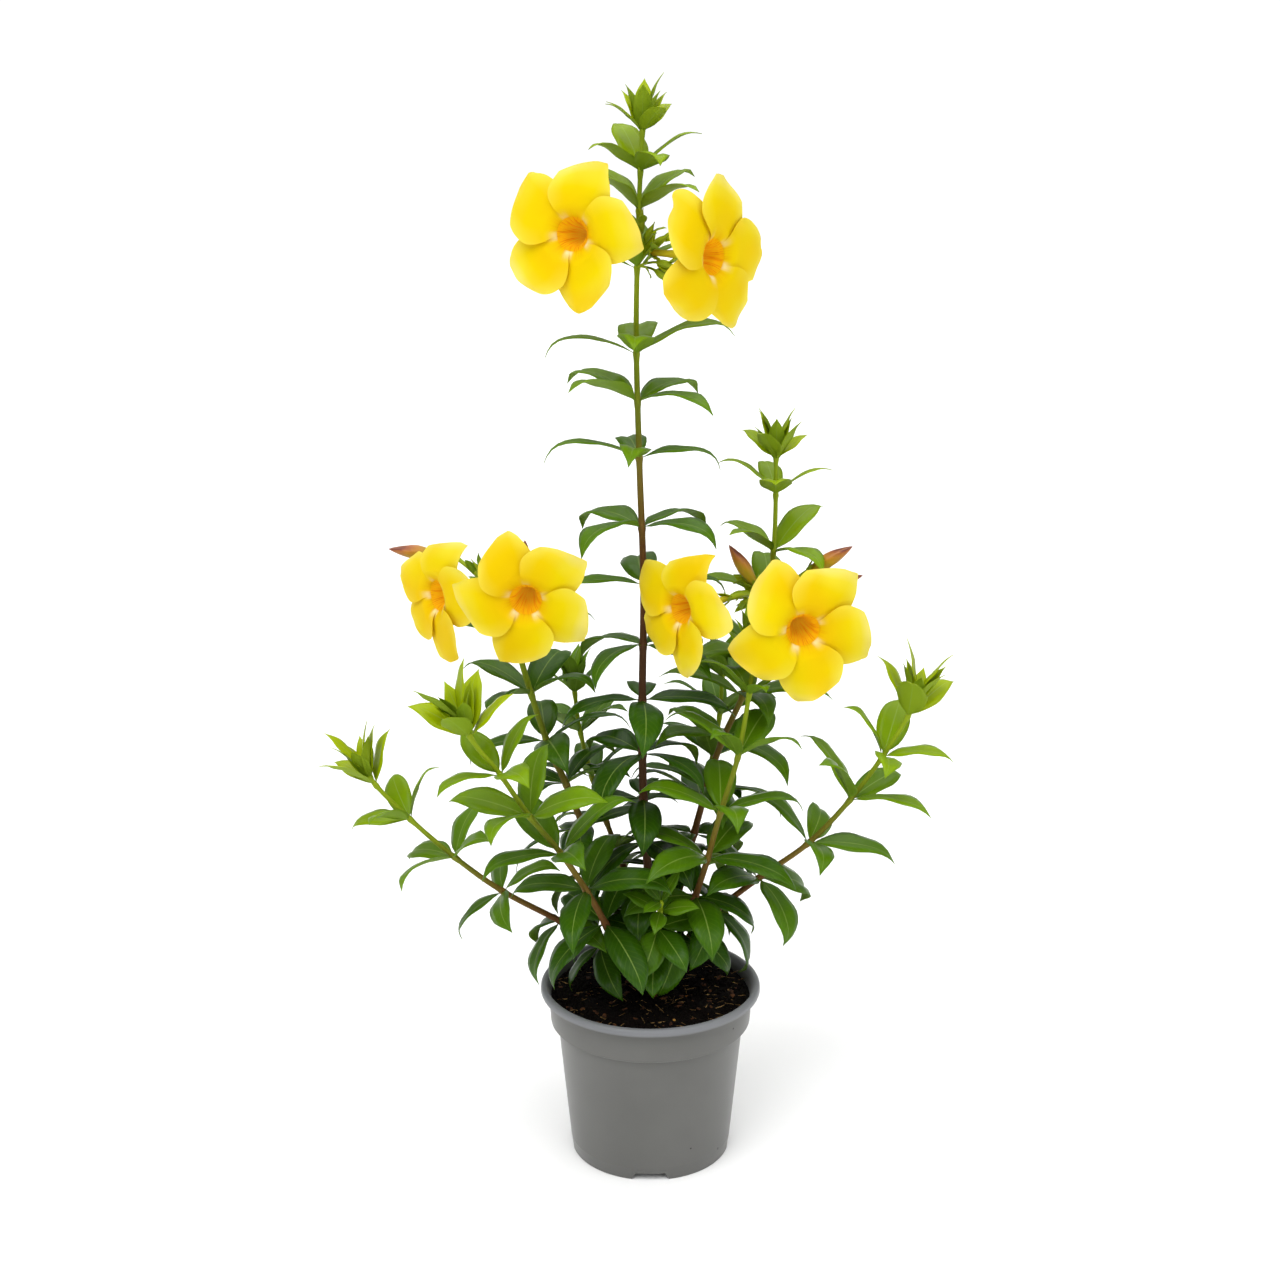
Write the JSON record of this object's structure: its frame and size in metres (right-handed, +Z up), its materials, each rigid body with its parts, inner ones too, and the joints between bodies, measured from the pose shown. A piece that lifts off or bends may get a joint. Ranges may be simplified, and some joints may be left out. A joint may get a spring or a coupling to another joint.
{
  "type": "potted allamanda",
  "caption": "Upright flowering shrub with whorled glossy leaves, yellow trumpet blooms and pointed buds, growing in a tapered plastic nursery pot of soil.",
  "frame": {"origin": "the middle of the pot's foot, on the surface that it stands on", "axes": "+Z up along the pot's axis, -Y towards the viewer of the picture, +X to that viewer's right"},
  "size_m": [0.4658, 0.3093, 0.8166],
  "materials": {
    "pot_plastic": "matt grey moulded plastic",
    "potting_soil": "damp crumbly peat with fibres and bark",
    "leaf_green": "glossy living leaves on green to red-brown stems",
    "petal_yellow": "satin yellow petals with an orange throat",
    "bud_brown": "smooth closed buds, brown to orange"
  },
  "bodies": {
    "root": {"pot": "pot_plastic", "soil": "potting_soil", "stem_leader": "leaf_green", "stem_tall_right": "leaf_green", "stem_tall_left": "leaf_green", "stem_back_right": "leaf_green", "stem_front_right": "leaf_green", "stem_far_right": "leaf_green", "stem_far_left": "leaf_green", "stem_front_left": "leaf_green", "stem_back_left": "leaf_green", "stem_low_front": "leaf_green", "bloom_top_left": "petal_yellow", "bloom_top_right": "petal_yellow", "bloom_far_left": "petal_yellow", "bloom_left": "petal_yellow", "bloom_middle": "petal_yellow", "bloom_right": "petal_yellow", "bud_far_left": "bud_brown", "bud_left": "bud_brown", "bud_middle": "bud_brown", "bud_right": "bud_brown", "bud_far_right": "bud_brown"}
  },
  "joints": []
}
